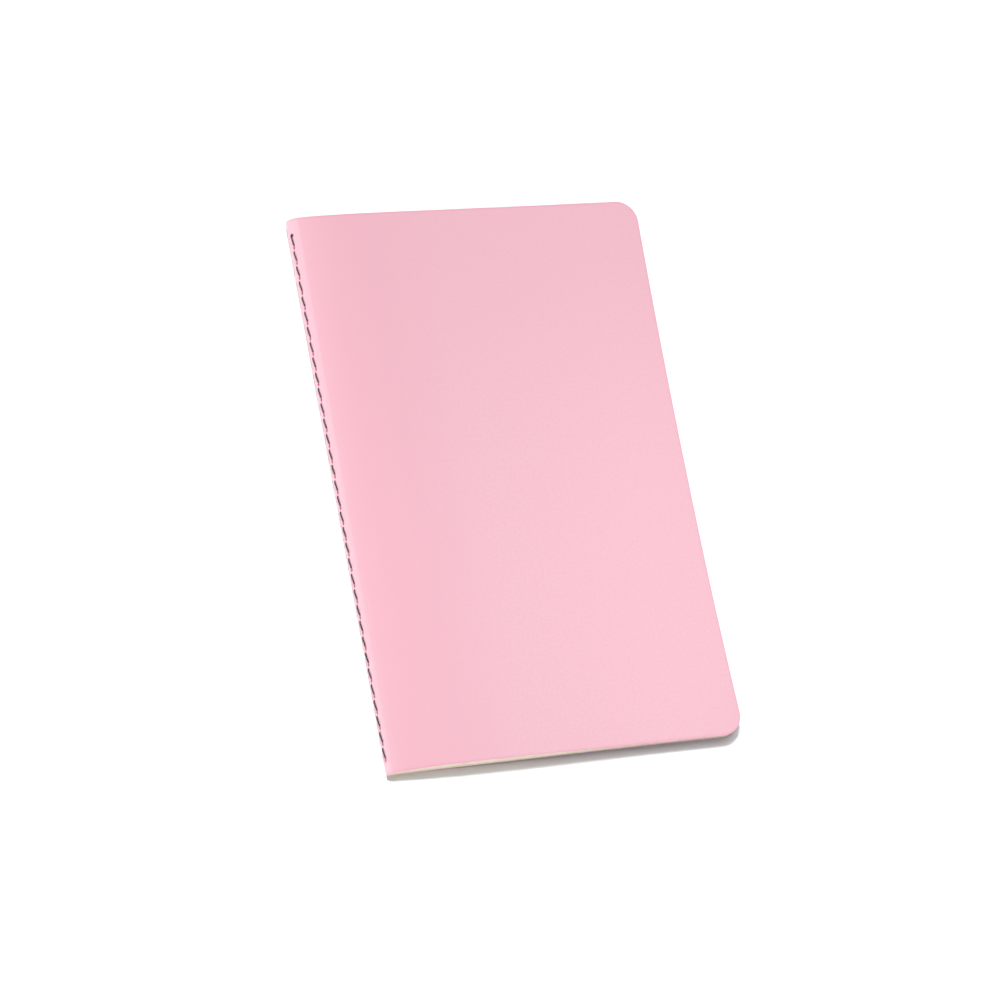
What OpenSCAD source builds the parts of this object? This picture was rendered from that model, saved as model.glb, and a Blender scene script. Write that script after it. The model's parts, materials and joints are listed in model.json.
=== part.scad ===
// Slim soft-cover notebook, sewn through its fold and lying closed on its back cover.
// X runs from the spine to the fore-edge, Y from the tail to the head and Z up.
// The notebook is one section in the X-Z plane: a round nose at the spine, a swell behind it
// and a straight fall to the fore-edge. Each layer is that section, set in by what lies outside it.

/* [Cover] */
// Width of the closed notebook, from the nose of the spine to the fore-edge
cover_w = 140; // [100:1:180]
// Height of the closed notebook, from tail to head
cover_h = 210; // [150:1:260]
// Thickness of the cover card
cover_t = 0.3; // [0.2:0.05:0.5]
// Radius of the two corners cut at the fore-edge
corner_r = 8.5; // [3:0.5:20]

/* [Body] */
// Outer radius of the nose that the fold makes at the spine
nose_r = 2.4; // [2:0.1:3.5]
// Slope of the front cover where it leaves the nose, in degrees
rise_angle = 12; // [6:0.5:14]
// Distance from the spine to the thickest place
swell_x = 26; // [20:1:40]
// Whole thickness at the fore-edge
fore_t = 3.6; // [2.5:0.1:5]
// Air between the cover card and the leaves
leaf_gap = 0.05; // [0.03:0.01:0.1]

/* [Hinges] */
// Distance from the spine to the line where each cover bends open
hinge_x = 4; // [4:0.5:8]
// Clearance between a cover's edge and the strip round the spine
fold_gap = 0.05; // [0.03:0.01:0.1]

/* [Stitching] */
// Number of stitches along the fold
stitch_count = 34; // [20:1:40]
// Distance from the head to the first hole
head_margin = 5; // [3:0.1:12]
// Distance from the tail to the last hole
tail_margin = 4.4; // [3:0.1:12]
// Radius of the thread outside the fold
needle_r = 0.3; // [0.2:0.05:0.35]
// Radius of the thread inside the fold
bobbin_r = 0.2; // [0.15:0.05:0.25]
// Radius of the bend where a stitch dips into its hole, along the thread's middle
bend_r = 0.45; // [0.4:0.05:0.6]
// Clearance round the threads
thread_gap = 0.02; // [0.02:0.01:0.05]
// Length of thread left in an end hole past its last loop
thread_end = 1.2; // [0.8:0.1:1.6]
// Angle round the nose from its tip up to the row of stitches, in degrees
row_turn = 18; // [0:1:25]
// Drift of the row from the fold, in degrees
row_skew = 0.3; // [0:0.05:0.4]

/* [Hidden] */
$fn = 48;

// Widest flat on the nose and on the swell, in degrees
nose_flat = 6.5;
swell_flat = 1;
// Length that a cut runs past what it cuts
spare = 1;
card_colour = [0.965, 0.741, 0.8];
leaf_colour = [0.94, 0.91, 0.84];
thread_colour = [0.19, 0.18, 0.19];

// The swell is an arc that leaves the nose at rise_angle and is level at swell_x
swell_r = (swell_x - nose_r * (1 - sin(rise_angle))) / sin(rise_angle);
swell_z = nose_r * (1 + cos(rise_angle)) + swell_r * (1 - cos(rise_angle));
swell_low = swell_z - swell_r;

// From the swell the front falls along the tangent that meets the fore-edge at fore_t
fore_run = cover_w - swell_x;
fore_rise = fore_t - swell_low;
tangent_angle = acos(swell_r / norm([fore_run, fore_rise]));
fall_angle = 90 - atan2(fore_rise, fore_run) - tangent_angle;

// Each hole holds two legs of the outer thread, one on each side of the inner thread
stitch_pitch = (cover_h - head_margin - tail_margin) / stitch_count;
leg_side = needle_r + bobbin_r + thread_gap;
hole_r = leg_side + needle_r + thread_gap;
run_height = nose_r + needle_r + thread_gap;
leg_height = run_height - bend_r;

// A thread has this many sides, and each of its square bends has two corners on a circle's tangents
thread_sides = 8;
corner = tan(22.5);

// Points of an arc round c, from angle a to angle b, with a flat no wider than the angle given
function arc(c, r, a, b, flat) =
    let (steps = ceil(abs(b - a) / flat))
    [for (i = [0:steps]) let (t = a + (b - a) * i / steps) c + r * [cos(t), sin(t)]];

function reversed(path) = [for (i = [len(path) - 1:-1:0]) path[i]];

function without_first(path) = [for (i = [1:len(path) - 1]) path[i]];

// Angle on the swell's arc above a distance x from the spine
function swell_angle(x) = 90 + asin((swell_x - x) / swell_r);

// The swell between two of its angles, at a depth under the cover's outer face
function swell_path(inset, a, b) = arc([swell_x, swell_low], swell_r - inset, a, b, swell_flat);

// From the floor round the nose and up the swell, as far as angle b of the swell
function nose_path(inset, b) = concat(
    arc([nose_r, nose_r], nose_r - inset, 270, 90 + rise_angle, nose_flat),
    without_first(swell_path(inset, 90 + rise_angle, b))
);

// The end of the straight fall, a little past the fore-edge, where the knife cuts
function fall_end(inset) =
    let (reach = swell_r * tan(tangent_angle) + spare)
    [swell_x, swell_low]
    + (swell_r - inset) * [sin(fall_angle), cos(fall_angle)]
    + reach * [cos(fall_angle), -sin(fall_angle)];

// A section in X and Z, run from the tail to the head
module along_fold() {
    translate([-cover_w / 2, 0, 0])
        rotate([90, 0, 0])
            linear_extrude(height = cover_h, center = true)
                children();
}

// What the knife leaves: square at the spine, round at the fore-edge corners
module trim_outline() {
    square_w = cover_w - corner_r;
    translate([-cover_w / 2, -cover_h / 2]) {
        square([square_w, cover_h]);
        translate([0, corner_r])
            square([cover_w, cover_h - 2 * corner_r]);
        for (y = [corner_r, cover_h - corner_r])
            translate([square_w, y])
                circle(corner_r);
    }
}

module trimmed() {
    intersection() {
        children();
        translate([0, 0, -spare])
            linear_extrude(height = swell_z + 2 * spare)
                trim_outline();
    }
}

// The row of stitches: its X axis points into the fold, and its Y axis along it
module on_row() {
    translate([nose_r - cover_w / 2, 0, nose_r])
        rotate([0, row_turn, 0])
            rotate([row_skew, 0, 0])
                children();
}

// Middle of each hole along the row
function hole_y(i) = tail_margin - cover_h / 2 + i * stitch_pitch;

module thread_holes() {
    on_row()
        for (i = [0:stitch_count])
            translate([hole_r, hole_y(i), 0])
                rotate([0, -90, 0])
                    cylinder(h = hole_r + run_height, r = hole_r);
}

module front_cover() {
    first = swell_angle(hinge_x + fold_gap);
    last = 90 - fall_angle;
    color(card_colour)
        trimmed()
            along_fold()
                polygon(concat(
                    swell_path(0, first, last),
                    [fall_end(0), fall_end(cover_t)],
                    reversed(swell_path(cover_t, first, last))
                ));
}

// The strip of the cover sheet that stays round the nose when a cover opens
module spine_fold() {
    lip = swell_angle(hinge_x);
    color(card_colour)
        difference() {
            along_fold()
                polygon(concat(
                    [[hinge_x, 0]],
                    nose_path(0, lip),
                    reversed(nose_path(cover_t, lip)),
                    [[hinge_x, cover_t]]
                ));
            thread_holes();
        }
}

module back_cover() {
    color(card_colour)
        trimmed()
            along_fold()
                translate([hinge_x + fold_gap, 0])
                    square([cover_w, cover_t]);
}

// The folded sheets, nested and sewn, with the centre fold at the middle of the nose
module pages() {
    inset = cover_t + leaf_gap;
    color(leaf_colour)
        difference() {
            trimmed()
                along_fold()
                    polygon(concat(
                        nose_path(inset, 90 - fall_angle),
                        [fall_end(inset), [cover_w + spare, inset]]
                    ));
            thread_holes();
            on_row()
                bobbin_run(bobbin_r + thread_gap, thread_end + thread_gap);
        }
}

// A straight round run from the first hole to the last, and past both
module bobbin_run(r, past) {
    translate([0, hole_y(0) - past, 0])
        rotate([-90, 0, 0])
            cylinder(h = stitch_count * stitch_pitch + 2 * past, r = r);
}

// Corners of the loop round the inner thread, at the bottom of a hole
function loop_corners(i) = [
    for (c = [[corner, -1], [1, -corner], [1, corner], [corner, 1]])
        [c[0] * leg_side, hole_y(i), c[1] * leg_side]
];

// Corners of the stitch from one hole to the next, from the upper leg to the lower one
function stitch_corners(i) =
    let (
        from = [0, hole_y(i), leg_side],
        to = [0, hole_y(i + 1), -leg_side],
        way = (to - from) / norm(to - from) * bend_r * (1 - corner)
    )
    [
        from - [leg_height + bend_r * corner, 0, 0],
        from - [run_height, 0, 0] + way,
        to - [run_height, 0, 0] - way,
        to - [leg_height + bend_r * corner, 0, 0]
    ];

// The outer thread's middle line from its cut end at the tail to the one at the head
needle_path = concat(
    [[-thread_end, hole_y(0), -leg_side]],
    loop_corners(0),
    [for (i = [0:stitch_count - 1]) each concat(stitch_corners(i), loop_corners(i + 1))],
    [[-thread_end, hole_y(stitch_count), leg_side]]
);

function unit(v) = v / norm(v);

// Direction of a path at one of its points, half-way between its two neighbouring stretches
function heading(path, i) =
    let (
        before = path[max(i, 1)] - path[max(i, 1) - 1],
        after = path[min(i + 1, len(path) - 1)] - path[min(i, len(path) - 2)]
    )
    unit(unit(before) + unit(after));

// A side direction carried along a path with as little twist as it can have
function carried_side(path, first) = [
    for (
        i = 0, side = first;
        i < len(path);
        i = i + 1, side = i < len(path) ? square_to(side, heading(path, i)) : side
    ) side
];

function square_to(v, direction) = unit(v - (v * direction) * direction);

// A round thread with its middle line on a path that starts along X
module thread_along(path, r) {
    side = carried_side(path, [0, 0, 1]);
    count = len(path);
    rings = [
        for (i = [0:count - 1], k = [0:thread_sides - 1])
            let (across = cross(heading(path, i), side[i]), turn = (k + 0.5) * 360 / thread_sides)
            path[i] + r * (cos(turn) * side[i] + sin(turn) * across)
    ];
    walls = [
        for (i = [0:count - 2], k = [0:thread_sides - 1])
            let (next = (k + 1) % thread_sides)
            [i * thread_sides + k, (i + 1) * thread_sides + k,
             (i + 1) * thread_sides + next, i * thread_sides + next]
    ];
    first_end = [for (k = [0:thread_sides - 1]) k];
    last_end = [for (k = [thread_sides - 1:-1:0]) (count - 1) * thread_sides + k];
    polyhedron(rings, concat(walls, [first_end, last_end]), convexity = 10);
}

module needle_thread() {
    color(thread_colour)
        on_row()
            thread_along(needle_path, needle_r);
}

module bobbin_thread() {
    color(thread_colour)
        on_row()
            bobbin_run(bobbin_r, thread_end);
}

front_cover();
spine_fold();
back_cover();
pages();
needle_thread();
bobbin_thread();
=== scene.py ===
import json
import math

import bmesh
import bpy
import numpy as np
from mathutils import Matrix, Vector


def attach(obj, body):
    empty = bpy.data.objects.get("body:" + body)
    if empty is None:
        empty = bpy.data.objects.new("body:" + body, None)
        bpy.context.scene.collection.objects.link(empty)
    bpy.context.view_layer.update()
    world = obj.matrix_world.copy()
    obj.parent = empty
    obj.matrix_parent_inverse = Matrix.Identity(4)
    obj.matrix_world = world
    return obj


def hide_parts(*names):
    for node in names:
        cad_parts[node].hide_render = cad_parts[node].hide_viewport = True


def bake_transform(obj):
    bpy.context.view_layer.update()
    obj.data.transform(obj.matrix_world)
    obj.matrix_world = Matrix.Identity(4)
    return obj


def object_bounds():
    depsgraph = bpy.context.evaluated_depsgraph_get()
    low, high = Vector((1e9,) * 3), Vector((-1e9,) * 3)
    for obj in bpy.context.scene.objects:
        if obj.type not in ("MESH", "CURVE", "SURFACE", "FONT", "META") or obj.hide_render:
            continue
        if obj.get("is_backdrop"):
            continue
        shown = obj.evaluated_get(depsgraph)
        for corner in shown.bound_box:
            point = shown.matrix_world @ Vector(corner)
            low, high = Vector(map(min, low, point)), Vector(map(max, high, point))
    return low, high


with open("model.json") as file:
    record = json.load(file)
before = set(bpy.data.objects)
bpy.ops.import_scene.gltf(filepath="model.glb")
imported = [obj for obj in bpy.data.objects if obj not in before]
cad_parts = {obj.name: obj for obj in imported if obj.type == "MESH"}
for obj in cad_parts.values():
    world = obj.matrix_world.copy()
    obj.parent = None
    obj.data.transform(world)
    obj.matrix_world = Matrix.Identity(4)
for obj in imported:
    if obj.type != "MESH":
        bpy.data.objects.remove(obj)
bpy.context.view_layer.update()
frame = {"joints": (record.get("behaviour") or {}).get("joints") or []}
print("frame loaded")

# All shapes are worked out in millimetres, with x from the nose of the spine and y from the tail.
# toFrame() moves them to the middle of the frame and turns them into metres.

booklet = {
    "width": 140.0,         # nose of the spine to fore-edge
    "height": 210.0,        # tail to head
    "cornerRadius": 8.2,
    "noseTail": 2.2,        # outside radius of the fold at the tail
    "noseHead": 3.9,        # and at the head, where the fold gapes more
    "riseTail": 9.8,        # slope behind the nose at the tail, degrees
    "riseHead": 9.0,        # and at the head
    "fullTail": 8.56,       # height the front cover would reach at the tail with no fall
    "fullHead": 9.7,        # and at the head
    "fallSlope": 0.0166,    # steady fall towards the fore-edge
    "pressDepth": 4.14,     # how far the leaves press together towards the fore-edge
    "pressRun": 118.8,      # distance from the spine over which they do
    "cornerLift": 3.06,     # how far head and tail curl up at the fore-edge
    "cornerRise": 0.6,      # how far the front's corner stands up further at the tail
    "cornerFrom": 80.0,     # distance from the spine at which that begins
    "cornerRun": 60.0,      # run to its full height from there, and back down from the tail
    "tailSlip": 0.6,        # how far the fold stands out of the tail's cut
    "slipRun": 8.0,         # distance from the spine over which that fades
    "slipReach": 4.0,       # distance from the tail that is drawn out with it
    "cardThickness": 0.3,
    "leafGap": 0.05,
}


def toFrame(points):
    # x and y are moved by half the width and height, and all is divided by 1000; the end of the
    # tail is drawn out by tailSlip exp(-x / slipRun)
    slip = booklet["tailSlip"] * np.exp(-points[..., 0] / booklet["slipRun"])
    slip = slip * (1 - smoothStep(points[..., 1] / booklet["slipReach"]))
    moved = points - np.array([booklet["width"] / 2, booklet["height"] / 2, 0.0])
    moved[..., 1] -= slip
    return moved / 1000.0


def smoothStep(t):
    # 3t^2 - 2t^3 between 0 and 1
    t = np.clip(t, 0.0, 1.0)
    return t * t * (3 - 2 * t)


def tailToHead(y, name):
    # a value that changes steadily from the tail to the head
    low, high = booklet[name + "Tail"], booklet[name + "Head"]
    return low + (high - low) * y / booklet["height"]


def noseRadius(y):
    return tailToHead(y, "nose")


def riseAngle(y):
    # slope behind the nose in radians
    return np.radians(tailToHead(y, "rise"))


def curl(x, y):
    # lift of the whole booklet: a parabola along the fore-edge that fades towards the spine
    along = 2 * y / booklet["height"] - 1
    return booklet["cornerLift"] * along ** 2 * smoothStep(x / booklet["pressRun"])


def noseExit(y):
    # where the nose's circle hands over to the front: r(1 - sin a), r(1 + cos a)
    a = riseAngle(y)
    r = noseRadius(y)
    return r * (1 - np.sin(a)), r * (1 + np.cos(a))


def frontHeight(x, y):
    # A - s x - E exp(-(x - x0)/L) - press + curl, with E and L set so that it leaves the nose tangent
    x0, z0 = noseExit(y)
    s = booklet["fallSlope"]
    full = tailToHead(y, "full")
    e = full - s * x0 - z0
    run = e / (np.tan(riseAngle(y)) + s)
    press = booklet["pressDepth"] * smoothStep(x / booklet["pressRun"])
    corner = smoothStep((x - booklet["cornerFrom"]) / booklet["cornerRun"])
    press = press - booklet["cornerRise"] * corner * smoothStep(1 - y / booklet["cornerRun"])
    return full - s * x - e * np.exp(-(x - x0) / run) - press + curl(x, y)


def halfReach(x):
    # half the height of the trimmed outline at x: a quarter circle takes over in the corner
    r = booklet["cornerRadius"]
    into = np.clip(x - (booklet["width"] - r), 0.0, r)
    return booklet["height"] / 2 - r + np.sqrt(np.maximum(r * r - into * into, 0.0))


# Stations along x, closer together near the spine and in the rounded corners
stations = {
    "nose": 49,         # round the nose
    "fine": 18,         # from the nose to fineEnd
    "fineEnd": 12.0,
    "plain": 24,        # from there to the rounded corners
    "growth": 1.25,     # power by which those grow apart
    "corner": 12,
    "under": 4,         # from the seam to the nose, underneath
    "settle": 12.0,     # run over which the front's stations settle behind the nose
}
cornerTurn = np.radians(np.linspace(0, 90, stations["corner"]))
cornerStations = booklet["width"] - booklet["cornerRadius"] * (1 - np.sin(cornerTurn))
plainShares = np.linspace(0, 1, stations["plain"])[1:-1] ** stations["growth"]
flatStations = np.concatenate([
    np.linspace(booklet["noseHead"], stations["fineEnd"], stations["fine"]),
    stations["fineEnd"] + (cornerStations[0] - stations["fineEnd"]) * plainShares,
    cornerStations,
])
noseShares = np.linspace(0, 1, stations["nose"])


def wrapSection(x, y, inset):
    # the flat underside at x, lifted by the curl and set in by inset
    z = curl(x, y) + inset
    return np.stack([x, y, z], -1)


def noseSection(share, y, inset):
    # circle round the nose: r - (r - inset) sin t, r - (r - inset) cos t, t from 0 to 180 deg - rise
    r = noseRadius(y)
    t = share * (np.pi - riseAngle(y))
    return np.stack([r - (r - inset) * np.sin(t), y, r - (r - inset) * np.cos(t)], -1)


def frontSection(x, y, inset):
    # the front at x, where x near the spine starts at the nose's exit; set in along its normal
    x0, _ = noseExit(y)
    start = flatStations[0]
    fade = np.clip(1 - (x - start) / stations["settle"], 0, 1) ** 2
    xs = x + (x0 - start) * fade
    slope = (frontHeight(xs + 0.01, y) - frontHeight(xs - 0.01, y)) / 0.02
    size = np.sqrt(1 + slope ** 2)
    return np.stack([xs + inset * slope / size, y, frontHeight(xs, y) - inset / size], -1)


def underGrid(shares, inset, upTo):
    # underside from the fore-edge to x = upTo, one row of points per station
    x = flatStations[flatStations >= upTo][::-1]
    if x[-1] > upTo:
        x = np.append(x, upTo)
    x = x[:, None]
    y = booklet["height"] / 2 + halfReach(x) * shares[None, :]
    return wrapSection(np.broadcast_to(x, y.shape), y, inset)


def noseGrid(shares, inset):
    t = noseShares[:, None]
    y = booklet["height"] * (shares[None, :] + 1) / 2
    return noseSection(t, np.broadcast_to(y, (len(noseShares), len(shares))), inset)


def frontGrid(shares, inset):
    x = flatStations[:, None]
    y = booklet["height"] / 2 + halfReach(x) * shares[None, :]
    return frontSection(np.broadcast_to(x, y.shape), y, inset)


def gridQuads(across, along, first=0):
    # quads of a grid of points numbered row by row; their normal is (row step) x (column step)
    i, j = np.meshgrid(np.arange(across - 1), np.arange(along - 1), indexing="ij")
    a = (i * along + j).ravel() + first
    return np.stack([a, a + along, a + along + 1, a + 1], -1)


def addObject(name, data):
    item = bpy.data.objects.new(name, data)
    bpy.context.scene.collection.objects.link(item)
    return item


def setValues(mesh, label, values, domain):
    layer = mesh.attributes.new(label, "FLOAT", domain)
    layer.data.foreach_set("value", np.asarray(values, np.float32))


def makePiece(name, points, quads, faceValues=None, pointValues=None, uv=None, merge=0.0, sharp=50):
    # points in millimetres and quads go into a new mesh; points nearer than merge become one, and
    # edges flatter than sharp degrees are shaded smooth
    mesh = bpy.data.meshes.new(name)
    mesh.from_pydata(toFrame(points).tolist(), [], quads.tolist())
    for label, values in (faceValues or {}).items():
        setValues(mesh, label, values, "FACE")
    for label, values in (pointValues or {}).items():
        setValues(mesh, label, values, "POINT")
    if uv is not None:
        layer = mesh.uv_layers.new(name="flat")
        loops = np.empty(len(mesh.loops), np.int32)
        mesh.loops.foreach_get("vertex_index", loops)
        layer.data.foreach_set("uv", np.asarray(uv, np.float32)[loops].ravel())
    piece = addObject(name, mesh)
    if merge:
        work = bmesh.new()
        work.from_mesh(mesh)
        bmesh.ops.remove_doubles(work, verts=work.verts, dist=merge / 1000)
        work.to_mesh(mesh)
        work.free()
    mesh.shade_smooth()
    mesh.set_sharp_from_angle(angle=math.radians(sharp))
    return piece


def closedSheet(outer, inner):
    # two grids of the same size, facing away from each other, joined round their rims
    n, m = outer.shape[:2]
    points = np.concatenate([outer.reshape(-1, 3), inner.reshape(-1, 3)])
    top = gridQuads(n, m)
    under = gridQuads(n, m, n * m)[:, ::-1]
    index = np.arange(n * m).reshape(n, m)
    ring = np.concatenate([index[:, 0], index[-1, 1:], index[-2::-1, -1], index[0, -2::-1]])
    a, b = ring[:-1], ring[1:]
    rim = np.stack([a, a + n * m, b + n * m, b], -1)
    return points, np.concatenate([top, under, rim]), len(rim)


# Sewing: the row climbs from the tip of the nose at the tail towards the front at the head
sewing = {
    "stitches": 34,
    "tailMargin": 4.2,      # last hole to the tail
    "headMargin": 5.5,      # first hole to the head
    "rowTail": 19.0,        # degrees above the tip of the nose, at the tail
    "rowHead": 29.0,        # and at the head
    "threadRadius": 0.27,
    "threadSides": 15,
    "threadSteps": 5,       # rings from one knot of a stitch to the next
    "drawnPitch": 5.9,      # distance between holes that stitchShape is drawn for
    "plies": 3,
    "plyDepth": 0.16,       # groove between plies, share of the radius
    "plyTurn": 1.7,         # length of one turn of the twist
    "slant": 0.28,          # half the sideways step of a stitch
    "plainDepth": 0.8,      # down to here a depth under the card is kept at any radius of the nose
    "lockDepth": 2.3,       # and this one is always the nose's centre, where the threads lock
    "headReach": 0.65,      # how much further the stitch at the head runs towards it
    "dimpleDepth": 0.27,
    "dimpleLong": 0.60,
    "dimpleWide": 0.55,
    "dimpleShift": 0.50,    # towards the head, where the thread dives
    "grooveDepth": 0.05,    # the shallow trough that the tight thread presses along the row
    "grooveWide": 0.7,
    "grooveFrom": 3.0,      # distance from the tail at which it begins
    "grooveFade": 4.0,      # run over which it deepens, at both ends
    "holeShift": -0.12,     # middle of the hole's painted shade, with the black thread inside, towards the head
    "holeSize": 0.30,
    "firstShift": -0.60,    # the same at the head, where the first hole is torn wide and shows no painted crimson shade
    "firstSize": 0.90,
    "firstFrom": 3.2,       # distance before that hole at which this begins
    "firstFade": 0.6,
    "bobbinRadius": 0.2,
    "bobbinSides": 9,
    "bobbinPlyDepth": 0.12,
    "bobbinPast": 1.2,      # length left past the end holes
    "bobbinRings": 400,
}
pitch = (booklet["height"] - sewing["tailMargin"] - sewing["headMargin"]) / sewing["stitches"]
holes = sewing["tailMargin"] + pitch * np.arange(sewing["stitches"] + 1)


def rowAngle(y):
    # angle round the nose, from straight down, at which the row of stitches runs
    share = y / booklet["height"]
    return np.radians(90 + sewing["rowTail"] + (sewing["rowHead"] - sewing["rowTail"]) * share)


def fromHole(y):
    # signed distance along the row from the nearest hole, positive towards the head
    i = np.clip(np.round((y - sewing["dimpleShift"] - holes[0]) / pitch), 0, sewing["stitches"])
    return y - holes[0] - pitch * i


# rows of the card: a few between the holes and many round each of them
holeRows = np.array([-1.6, -0.9, -0.5, -0.3, -0.12, 0.06, 0.24, 0.44, 0.66, 0.9, 1.2, 1.7, 2.7])
rows = np.unique(np.concatenate([
    (holes[:, None] + holeRows[None, :]).ravel(),
    [0, 0.45, 1.2, 2.6, 4.2],
    booklet["height"] - np.array([0, 0.45, 1.1, 1.9]),
]))
rows = rows[(rows >= 0) & (rows <= booklet["height"])]
rows = rows[np.concatenate([[True], np.diff(rows) > 0.05])]
cardShares = 2 * rows / booklet["height"] - 1


def dimple(points):
    # a bell exp(-(a/long)^2 - (s/wide)^2) at each hole, pushed in towards the nose's centre, which also masks
    # the painted crimson shade of the dimple, with a smaller one for the painted shade of the hole itself,
    # where the black thread lies deep inside
    y = points[..., 1]
    r = noseRadius(y)
    t = np.arctan2(r - points[..., 0], r - points[..., 2])
    side = (t - rowAngle(y)) * r
    near = np.where(points[..., 0] < r, 1.0, 0.0)
    along = fromHole(y) - sewing["dimpleShift"]
    bell = np.exp(-(along / sewing["dimpleLong"]) ** 2 - (side / sewing["dimpleWide"]) ** 2) * near
    fade = sewing["grooveFade"]
    ends = smoothStep((y - sewing["grooveFrom"]) / fade) * smoothStep((booklet["height"] - y) / fade)
    groove = np.exp(-(side / sewing["grooveWide"]) ** 2) * near * ends
    depth = sewing["dimpleDepth"] * bell + sewing["grooveDepth"] * groove
    inward = np.stack([np.sin(t), np.zeros_like(t), np.cos(t)], -1)
    first = smoothStep((y - holes[-1] + sewing["firstFrom"]) / sewing["firstFade"])
    shift = sewing["holeShift"] + (sewing["firstShift"] - sewing["holeShift"]) * first
    across = sewing["holeSize"] + (sewing["firstSize"] - sewing["holeSize"]) * first
    hole = np.exp(-((fromHole(y) - shift) ** 2 + side ** 2) / across ** 2) * near
    return points + depth[..., None] * inward, bell * (1 - first), hole


# Tones of the card: a darker rim at its cut edge, and painted shade beside its fold and towards its head
cutEdgeAndPaintedShade = {
    "edgeRun": 0.8,         # width of the darker rim at the card's cut edge
    "foldFrom": 5.0,        # the painted shade beside the fold is full from here
    "foldEnd": 60.0,        # and gone from here
    "foldRun": 48.0,        # fading over this distance
    "headFrom": 110.0,      # distance from the tail at which the painted shade comes back
    "headRun": 95.0,
    "headShare": 0.35,      # and how strong the painted shade gets at the head
}


def edgeNearness(points):
    # 1 at the cut edge of the card, fading to 0 over edgeRun
    x, y = points[..., 0], points[..., 1]
    r, w, h = booklet["cornerRadius"], booklet["width"], booklet["height"]
    dx = x - (w - r)
    dy = np.abs(y - h / 2) - (h / 2 - r)
    corner = r - np.hypot(np.maximum(dx, 0), np.maximum(dy, 0))
    straight = np.minimum(w - x, h / 2 - np.abs(y - h / 2))
    gap = np.where((dx > 0) & (dy > 0), corner, straight)
    return np.clip(1 - gap / cutEdgeAndPaintedShade["edgeRun"], 0, 1)


def paintedShadeAmount(points):
    # amount of painted shade: 1 beside the nose, 0 at its tip and from foldEnd on, and more again towards the
    # head
    x, y = points[..., 0], points[..., 1]
    fold = smoothStep(x / cutEdgeAndPaintedShade["foldFrom"]) * smoothStep((cutEdgeAndPaintedShade["foldEnd"] - x) / cutEdgeAndPaintedShade["foldRun"])
    head = cutEdgeAndPaintedShade["headShare"] * smoothStep((y - cutEdgeAndPaintedShade["headFrom"]) / cutEdgeAndPaintedShade["headRun"])
    return 1 - (1 - fold) * (1 - head)


def flatMap(points):
    # unrolled length in metres: round the section for u, along the fold for v
    step = np.linalg.norm(np.diff(points[:, :, [0, 2]], axis=0), axis=-1)
    u = np.concatenate([np.zeros((1, points.shape[1])), np.cumsum(step, axis=0)])
    return np.stack([u, points[..., 1]], -1).reshape(-1, 2) / 1000


def cardPiece(name, outer, inner):
    outer, bellOut, holeOut = dimple(outer)
    inner, bellIn, _ = dimple(inner)
    points, quads, rimCount = closedSheet(outer, inner)
    cut = np.zeros(len(quads))
    cut[-rimCount:] = 1
    uv = np.concatenate([flatMap(outer), flatMap(inner)])
    values = {
        # masks of painted shade: crimson in each dimple, and the dark of each hole with the black thread deep
        # inside
        "dimple": np.concatenate([bellOut.ravel(), bellIn.ravel()]),
        "hole": np.concatenate([holeOut.ravel(), np.zeros(holeOut.size)]),
        "edge": np.concatenate([edgeNearness(outer).ravel(), edgeNearness(inner).ravel()]),
        # fold: amount of painted shade beside the fold and towards the head
        "fold": np.concatenate([paintedShadeAmount(outer).ravel(), paintedShadeAmount(inner).ravel()]),
    }
    return makePiece(name, points, quads, {"cut": cut}, values, uv)


hinge = frame["joints"][0]["pos_m"]
seam = hinge[0] * 1000 + booklet["width"] / 2   # where both covers bend open
thick = booklet["cardThickness"]


def wrapGrid(shares, inset):
    # from the seam underneath, round the nose and up over the front
    steps = stations["under"]
    y = np.broadcast_to(booklet["height"] * (shares + 1) / 2, (steps, len(shares)))
    x = seam + (noseRadius(y) - seam) * np.arange(steps)[:, None] / steps
    return np.concatenate([wrapSection(x, y, inset), noseGrid(shares, inset), frontGrid(shares, inset)[1:]])


coverFront = cardPiece("cover_front", wrapGrid(cardShares, 0), wrapGrid(cardShares, thick))
coverBack = cardPiece("cover_back", underGrid(cardShares, 0, seam), underGrid(cardShares, thick, seam))
print("cover made")

# Leaves: nested folded sheets, seen as fine ridges where the knife has cut them
leafBlock = {
    "sheets": 19,
    "ridge": [0.0, 0.22, 0.5, 0.78],        # places across one sheet's thickness
    "push": [-0.16, -0.01, 0.02, -0.01],    # how far each stands out of the cut face
    "jitter": 0.05,
    "rows": 72,
}
leafInset = thick + booklet["leafGap"]
leafShares = np.concatenate([[-1, -0.996], np.linspace(-0.985, 0.985, leafBlock["rows"]), [0.996, 1]])
underLeaf = underGrid(leafShares, leafInset, booklet["noseHead"])
noseLeaf = noseGrid(leafShares, leafInset)
frontLeaf = frontGrid(leafShares, leafInset)
skin = np.concatenate([underLeaf, noseLeaf, frontLeaf[1:]])

# ring of the cut face: tail from the fore-edge round the nose and back, up the fore-edge,
# then the head the other way and down the fore-edge again
ring = np.concatenate([skin[:, 0], skin[-1, 1:], skin[-2::-1, -1], skin[0, -2:0:-1]])
ring = np.concatenate([ring, ring[:1]])
ringX = np.maximum(ring[:, 0], noseRadius(ring[:, 1]))
ringTop = frontHeight(ringX, ring[:, 1])
ringLow = curl(ringX, ring[:, 1])
centre = np.stack([ringX, ring[:, 1], (ringTop + ringLow) / 2], -1)
r, w, h = booklet["cornerRadius"], booklet["width"], booklet["height"]
outX = np.maximum(ring[:, 0] - (w - r), 0)
sideY = np.sign(ring[:, 1] - h / 2)
outY = np.maximum(np.abs(ring[:, 1] - h / 2) - (h / 2 - r), 0) * sideY
size = np.maximum(np.hypot(outX, outY), 1e-6)
outward = np.stack([outX / size, outY / size, np.zeros(len(ring))], -1)
rng = np.random.default_rng(7)
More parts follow.
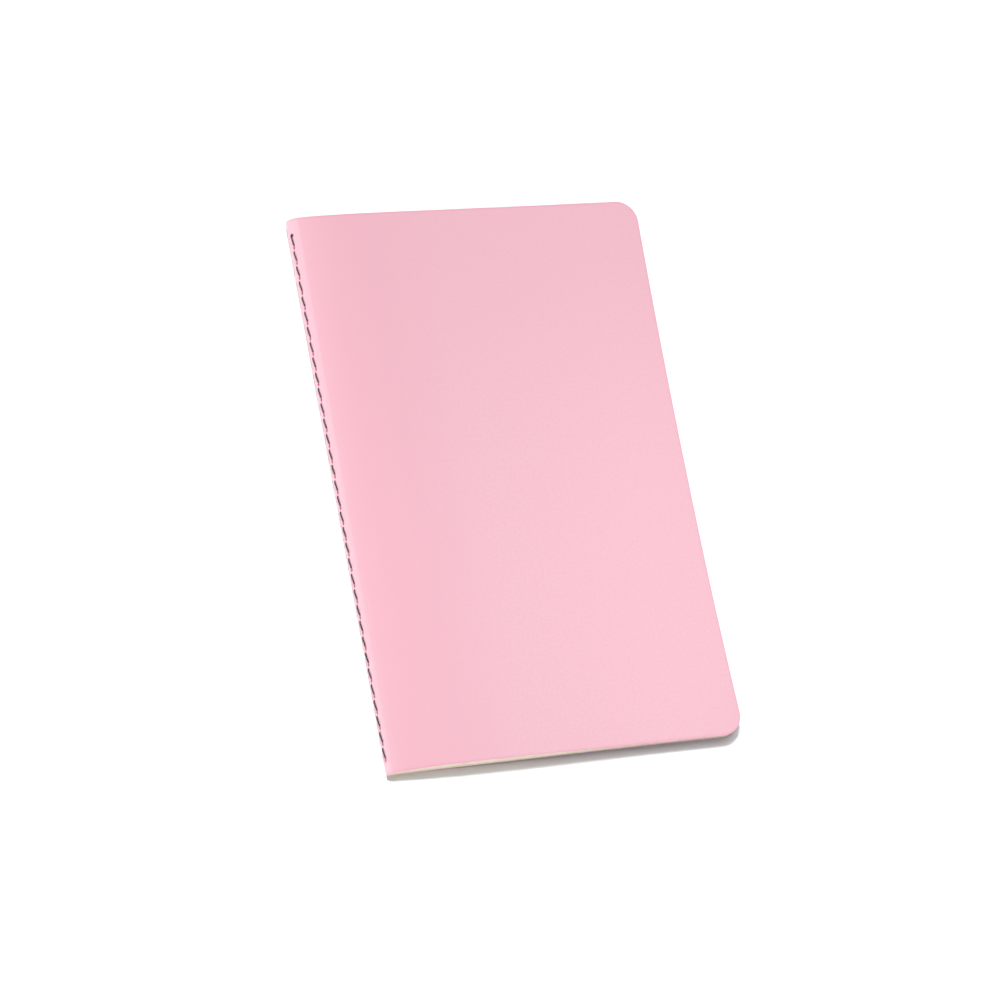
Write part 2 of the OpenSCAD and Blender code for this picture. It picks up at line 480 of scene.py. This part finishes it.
sheets = leafBlock["sheets"]
levels = (np.arange(sheets)[:, None] + np.array(leafBlock["ridge"])[None, :]).ravel() / sheets
push = np.broadcast_to(np.array(leafBlock["push"])[None, :], (sheets, 4)).copy()
push[:, 1:] += rng.uniform(-0.5, 0.5, (sheets, 1)) * leafBlock["jitter"]
levels = np.append(levels, 1.0)
push = np.append(push.ravel(), 0.0)
wall = centre[:, None] + levels[None, :, None] * (ring - centre)[:, None]
wall = wall + push[None, :, None] * outward[:, None]
n, m = skin.shape[:2]
points = np.concatenate([skin.reshape(-1, 3), wall.reshape(-1, 3)])
quads = np.concatenate([gridQuads(n, m), gridQuads(len(ring), len(levels), n * m)])
# lowness: 1 at the lowest leaves of the cut face, the mask of painted shade there
low = wall[..., 2] - ringLow[:, None] - leafInset
tall = ringTop - ringLow - 2 * leafInset
lowness = np.concatenate([np.zeros(n * m), np.clip(1 - low / tall[:, None], 0, 1).ravel()])
# painted shade in the groove between sheets, where each sheet's first ridge is set back into the cut face
between = np.broadcast_to((push < leafBlock["push"][0] / 2)[None, :], wall.shape[:2])
paintedGapShade = np.concatenate([np.zeros(n * m), between.ravel()])
leafValues = {"paintedGapShade": paintedGapShade, "lowness": lowness}
leaves = makePiece("leaves", points, quads, pointValues=leafValues, merge=0.0015, sharp=60)
print("leaves made")


def curveThrough(points, steps):
    # Catmull-Rom curve through all points, with this many steps from each to the next
    p0, p1, p2, p3 = points[:-3], points[1:-2], points[2:-1], points[3:]
    t = (np.arange(steps) / steps)[None, :, None]
    p0, p1, p2, p3 = (p[:, None] for p in (p0, p1, p2, p3))
    curve = 0.5 * (2 * p1 + (p2 - p0) * t + (2 * p0 - 5 * p1 + 4 * p2 - p3) * t ** 2
                   + (3 * p1 - p0 - 3 * p2 + p3) * t ** 3)
    return np.concatenate([curve.reshape(-1, points.shape[1]), points[-2:-1]])


# one stitch, from the loop at a hole to the loop at the next: along the row, height over the card,
# and sideways in half slants
stitchShape = np.array([
    [0.00, -2.85, 0.0], [0.45, -2.30, 0.0], [0.50, -1.60, 0.5], [0.80, -1.00, 1.0], [1.14, -0.38, 1.0],
    [1.50, 0.08, 1.0], [2.00, 0.26, 0.8], [2.90, 0.28, 0.35], [3.70, 0.28, -0.2], [4.40, 0.25, -0.65],
    [4.84, 0.06, -0.85], [5.14, -0.35, -0.9], [5.34, -0.90, -0.7], [5.44, -1.50, -0.4], [5.45, -2.30, 0.0],
])
stitchShape[:, 0] *= pitch / sewing["drawnPitch"]
knots = holes[:-1, None, None] * np.array([1.0, 0.0, 0.0]) + stitchShape[None]
knots[-1, 8:-2, 0] += sewing["headReach"]      # the stitch at the head runs right up to its hole
knots = knots.reshape(-1, 3)
# the cut ends stay inside the first and the last hole
knots = np.concatenate([
    [[holes[0] - 0.35, -1.0, 0], [holes[0] - 0.4, -1.6, 0], [holes[0] - 0.45, -2.3, 0]], knots,
    [[holes[-1], -2.85, 0], [holes[-1] + 0.45, -2.3, 0], [holes[-1] + 0.4, -1.6, 0]],
    [[holes[-1] + 0.35, -1.0, 0]],
])
track = curveThrough(knots, sewing["threadSteps"])


def onRow(track):
    # point at a place along the row, a height over the card and a sideways step round the nose;
    # depths from plainDepth to lockDepth are stretched to end at the nose's centre
    r0 = noseRadius(track[:, 0])
    t = rowAngle(track[:, 0]) + track[:, 2] * sewing["slant"] / r0
    plain, lock = sewing["plainDepth"], sewing["lockDepth"]
    reach = r0 + track[:, 1] - (r0 - lock) * np.clip((-track[:, 1] - plain) / (lock - plain), 0, 1)
    middle = np.stack([r0 - reach * np.sin(t), track[:, 0], r0 - reach * np.cos(t)], -1)
    side = np.stack([-np.cos(t), np.zeros_like(t), np.sin(t)], -1)
    return middle, side


def twistedTube(middle, side, radius, around, plies, depth, turn):
    # lobes |cos| round the section, turned steadily with the length along the path
    ahead = np.gradient(middle, axis=0)
    ahead /= np.linalg.norm(ahead, axis=1, keepdims=True)
    side = side - (side * ahead).sum(1, keepdims=True) * ahead
    side /= np.linalg.norm(side, axis=1, keepdims=True)
    up = np.cross(ahead, side)
    length = np.concatenate([[0], np.cumsum(np.linalg.norm(np.diff(middle, axis=0), axis=1))])
    a = np.linspace(0, 2 * np.pi, around, endpoint=False)[None, :]
    phase = a - 2 * np.pi * length[:, None] / turn
    lobe = np.abs(np.cos(plies * phase / 2))
    reach = radius * (1 - depth + depth * lobe)
    spoke = np.cos(a)[..., None] * side[:, None] + np.sin(a)[..., None] * up[:, None]
    ringPoints = middle[:, None] + reach[..., None] * spoke
    n = len(middle)
    points = np.concatenate([ringPoints.reshape(-1, 3), middle[:1], middle[-1:]])
    i, k = np.meshgrid(np.arange(n - 1), np.arange(around), indexing="ij")
    k2 = (k + 1) % around
    here, after = i * around, (i + 1) * around
    quads = np.stack([here + k, here + k2, after + k2, after + k], -1).reshape(-1, 4)
    k = np.arange(around)
    k2 = (k + 1) % around
    firstCap = np.stack([np.full(around, n * around), k2, k], -1)
    lastCap = np.stack([np.full(around, n * around + 1), (n - 1) * around + k, (n - 1) * around + k2], -1)
    faces = quads.tolist() + firstCap.tolist() + lastCap.tolist()
    # groove: how deep each point lies between the plies, the mask of painted shade in the grooves
    groove = np.append((1 - lobe).ravel(), [0, 0])
    return points, faces, groove


def threadPiece(name, track, radius, around, depth):
    middle, side = onRow(track)
    plies, turn = sewing["plies"], sewing["plyTurn"]
    points, faces, groove = twistedTube(middle, side, radius, around, plies, depth, turn)
    mesh = bpy.data.meshes.new(name)
    mesh.from_pydata(toFrame(points).tolist(), [], faces)
    setValues(mesh, "groove", groove, "POINT")
    mesh.shade_smooth()
    return addObject(name, mesh)


needleThread = threadPiece(
    "needle_thread_twist", track, sewing["threadRadius"], sewing["threadSides"], sewing["plyDepth"])
along = np.linspace(holes[0] - sewing["bobbinPast"], holes[-1] + sewing["bobbinPast"], sewing["bobbinRings"])
straight = np.stack([along, np.full_like(along, -sewing["lockDepth"]), np.zeros_like(along)], -1)
bobbinThread = threadPiece(
    "bobbin_thread_twist", straight, sewing["bobbinRadius"], sewing["bobbinSides"], sewing["bobbinPlyDepth"])
print("threads made")


def newMaterial(name, roughness):
    material = bpy.data.materials.new(name)
    material.use_nodes = True
    nodes = material.node_tree.nodes
    shader = nodes["Principled BSDF"]
    shader.inputs["Roughness"].default_value = roughness
    shader.inputs["Specular IOR Level"].default_value = 0.25
    return material, nodes, material.node_tree.links, shader


def linear(red, green, blue):
    # sRGB 0 to 255 into the linear values that Blender's sockets take
    c = np.array([red, green, blue]) / 255
    c = np.where(c <= 0.04045, c / 12.92, ((c + 0.055) / 1.055) ** 2.4)
    return (*c.tolist(), 1.0)


def attributeFactor(nodes, label):
    node = nodes.new("ShaderNodeAttribute")
    node.attribute_name = label
    return node.outputs["Fac"]


def mixColour(nodes, links, factor, first, second):
    node = nodes.new("ShaderNodeMix")
    node.data_type = "RGBA"
    for socket, value in ((node.inputs[0], factor), (node.inputs[6], first), (node.inputs[7], second)):
        if isinstance(value, bpy.types.NodeSocket):
            links.new(value, socket)
        else:
            socket.default_value = value
    return node.outputs[2]


def rescale(nodes, links, value, low, high, toLow=0.0, toHigh=1.0):
    node = nodes.new("ShaderNodeMapRange")
    node.inputs["From Min"].default_value = low
    node.inputs["From Max"].default_value = high
    node.inputs["To Min"].default_value = toLow
    node.inputs["To Max"].default_value = toHigh
    links.new(value, node.inputs["Value"])
    return node.outputs["Result"]


def tinted(nodes, links, colour, label, low, high, amount, tint):
    # the colour goes over to the tint where an attribute of the mesh rises from low to high
    factor = rescale(nodes, links, attributeFactor(nodes, label), low, high, 0, amount)
    return mixColour(nodes, links, factor, colour, tint)


def noise(nodes, links, vector, scale, detail, roughness=0.55):
    node = nodes.new("ShaderNodeTexNoise")
    node.inputs["Scale"].default_value = scale
    node.inputs["Detail"].default_value = detail
    node.inputs["Roughness"].default_value = roughness
    links.new(vector, node.inputs["Vector"])
    return node.outputs["Fac"]


def bump(nodes, links, height, distance, strength, before=None):
    node = nodes.new("ShaderNodeBump")
    node.inputs["Distance"].default_value = distance
    node.inputs["Strength"].default_value = strength
    links.new(height, node.inputs["Height"])
    if before is not None:
        links.new(before, node.inputs["Normal"])
    return node.outputs["Normal"]


cardLook = {
    "colour": linear(211, 165, 177),
    "fibre": linear(215, 169, 180),
    "paintedShadeColour": linear(214, 161, 174),   # painted shade: a deeper pink towards the fold and the head
    "cutEdge": linear(208, 136, 160),
    # painted shade: crimson in each pressed-in dimple, and near-black in each hole, where the black thread
    # lies deep inside
    "dimple": linear(158, 44, 82),
    "hole": linear(24, 14, 18),
    "roughness": 0.55,
}


def cardMaterial():
    material, nodes, links, shader = newMaterial("uncoated pink card", cardLook["roughness"])
    place = nodes.new("ShaderNodeUVMap")
    place.uv_map = "flat"
    cloud = noise(nodes, links, place.outputs["UV"], 900, 2)        # felt marks about 1 mm across
    grain = noise(nodes, links, place.outputs["UV"], 2600, 4, 0.6)  # fibres about 0.3 mm across
    patch = rescale(nodes, links, cloud, 0.3, 0.7)
    colour = mixColour(nodes, links, patch, cardLook["colour"], cardLook["fibre"])
    # painted shade beside the fold and towards the head
    colour = tinted(nodes, links, colour, "fold", 0, 1, 1, cardLook["paintedShadeColour"])
    speck = rescale(nodes, links, grain, 0.3, 0.7, 0.955, 1.035)
    tone = nodes.new("ShaderNodeVectorMath")
    tone.operation = "SCALE"
    links.new(colour, tone.inputs[0])
    links.new(speck, tone.inputs["Scale"])
    colour = tone.outputs["Vector"]
    colour = tinted(nodes, links, colour, "edge", 0, 1, 0.5, cardLook["cutEdge"])
    colour = tinted(nodes, links, colour, "cut", 0, 1, 0.9, cardLook["cutEdge"])
    # painted shade: crimson in each dimple and near-black in each hole
    colour = tinted(nodes, links, colour, "dimple", 0.15, 0.8, 0.95, cardLook["dimple"])
    colour = tinted(nodes, links, colour, "hole", 0.3, 0.8, 1, cardLook["hole"])
    links.new(colour, shader.inputs["Base Color"])
    normal = bump(nodes, links, grain, 0.00004, 0.5)
    normal = bump(nodes, links, cloud, 0.00003, 0.3, normal)
    links.new(normal, shader.inputs["Normal"])
    shader.inputs["Specular IOR Level"].default_value = 0.35
    shader.inputs["Sheen Weight"].default_value = 0.45
    shader.inputs["Sheen Roughness"].default_value = 0.35
    return material


leafLook = {
    "face": linear(215, 208, 194),
    "fleck": linear(209, 201, 184),
    # painted shade in the grooves between sheets
    "paintedGapShade": linear(140, 118, 90),
    "under": linear(186, 165, 132),     # painted shade: the lowest leaves at the cut, darker and browner
    "roughness": 0.8,
}


def leafMaterial():
    material, nodes, links, shader = newMaterial("ivory writing paper", leafLook["roughness"])
    place = nodes.new("ShaderNodeTexCoord")
    cloud = noise(nodes, links, place.outputs["Object"], 500, 3)
    grain = noise(nodes, links, place.outputs["Object"], 3500, 3)
    patch = rescale(nodes, links, cloud, 0.3, 0.7)
    colour = mixColour(nodes, links, patch, leafLook["face"], leafLook["fleck"])
    # painted shade: darker towards the lowest leaves
    colour = tinted(nodes, links, colour, "lowness", 0.45, 1, 0.8, leafLook["under"])
    # painted shade in the grooves between sheets
    colour = tinted(nodes, links, colour, "paintedGapShade", 0, 1, 0.85, leafLook["paintedGapShade"])
    links.new(colour, shader.inputs["Base Color"])
    links.new(bump(nodes, links, grain, 0.00003, 0.4), shader.inputs["Normal"])
    return material


threadLook = {
    "light": linear(64, 59, 61),
    # dark: darker fibres, and the painted shade in the grooves between plies
    "dark": linear(24, 21, 22),
    "roughness": 0.6,
}


def threadMaterial():
    material, nodes, links, shader = newMaterial("near-black sewing thread", threadLook["roughness"])
    place = nodes.new("ShaderNodeTexCoord")
    fibre = noise(nodes, links, place.outputs["Object"], 6000, 2)
    patch = rescale(nodes, links, fibre, 0.3, 0.7)
    colour = mixColour(nodes, links, patch, threadLook["light"], threadLook["dark"])
    # painted shade in the grooves between the plies
    colour = tinted(nodes, links, colour, "groove", 0.3, 1, 0.9, threadLook["dark"])
    links.new(colour, shader.inputs["Base Color"])
    links.new(bump(nodes, links, fibre, 0.00003, 0.6), shader.inputs["Normal"])
    shader.inputs["Sheen Weight"].default_value = 0.3
    shader.inputs["Sheen Roughness"].default_value = 0.5
    return material


card, paper, thread = cardMaterial(), leafMaterial(), threadMaterial()
finishes = [
    # piece, material, slot of the record
    (coverFront, card, "cover_card"),
    (coverBack, card, "cover_card"),
    (leaves, paper, "leaf_paper"),
    (needleThread, thread, "thread"),
    (bobbinThread, thread, "thread"),
]
for piece, material, label in finishes:
    piece.data.materials.append(material)
print("materials made")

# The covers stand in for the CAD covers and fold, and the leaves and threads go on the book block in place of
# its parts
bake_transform(coverFront)
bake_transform(coverBack)
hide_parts("front_cover", "spine_fold")
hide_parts("back_cover")
for piece, label in ((leaves, "pages"), (needleThread, "needle_thread"), (bobbinThread, "bobbin_thread")):
    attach(piece, "book_block")
    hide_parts(label)

studio = {
    "floor": 6.0,
    "floorColour": (0.93, 0.95, 0.955, 1.0),
    "camera": (-0.60929, -0.41484, 1.39929),
    "cameraTurn": (19.2138, -20.0686, -11.3866),
    "lens": 154.44,
    "above": 0.13,          # light of the room from overhead
    "horizon": 3.0,         # and from a low bright wall all round
    "wallTop": 0.3,         # sine of the wall's height
}
half = studio["floor"] / 2
mesh = bpy.data.meshes.new("floor")
mesh.from_pydata([(-half, -half, 0), (half, -half, 0), (half, half, 0), (-half, half, 0)], [], [(0, 1, 2, 3)])
floor = addObject("floor", mesh)
material, nodes, links, shader = newMaterial("pale floor", 0.9)
shader.inputs["Base Color"].default_value = studio["floorColour"]
shader.inputs["Specular IOR Level"].default_value = 0.0
mesh.materials.append(material)
floor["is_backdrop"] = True

world = bpy.data.worlds.new("studio")
world.use_nodes = True
nodes, links = world.node_tree.nodes, world.node_tree.links
split = nodes.new("ShaderNodeSeparateXYZ")
links.new(nodes.new("ShaderNodeTexCoord").outputs["Generated"], split.inputs[0])
strength = rescale(nodes, links, split.outputs["Z"], 0, studio["wallTop"], studio["horizon"], studio["above"])
nodes["Background"].inputs["Color"].default_value = (1, 1, 1, 1)
links.new(strength, nodes["Background"].inputs["Strength"])
bpy.context.scene.world = world
bpy.context.scene.view_settings.view_transform = "Standard"   # a white floor stays white

lamps = [
    # name, place, point that it shines at, size across, watts
    ("key", (-1.10, 2.00, 3.95), (0, 0, 0), 0.90, 219),
    ("glow", (0.06, -0.05, 0.20), (0.06, -0.05, 0), 0.10, 0.12),
    ("front", (0.10, -2.20, 0.12), (0, 0, 0), 0.20, 34),
    ("rim", (-1.60, 0.15, 0.20), (0, 0, 0), 0.30, 8),
]
for name, place, target, across, watts in lamps:
    data = bpy.data.lights.new(name, "AREA")
    data.shape = "DISK"
    data.size = across
    data.energy = watts
    lamp = addObject(name, data)
    lamp.location = place
    direction = np.array(target) - place
    lamp.rotation_euler = (     # first the tilt from straight down, then the turn to its side
        math.atan2(math.hypot(direction[0], direction[1]), -direction[2]),
        0,
        math.atan2(direction[1], direction[0]) - math.pi / 2,
    )
    lamp.visible_camera = False

data = bpy.data.cameras.new("camera")
data.lens = studio["lens"]
data.sensor_width = 36
data.clip_start = 0.05
data.clip_end = 20
camera = addObject("camera", data)
camera.location = studio["camera"]
camera.rotation_euler = [math.radians(a) for a in studio["cameraTurn"]]
bpy.context.scene.camera = camera
print("studio made")

low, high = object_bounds()
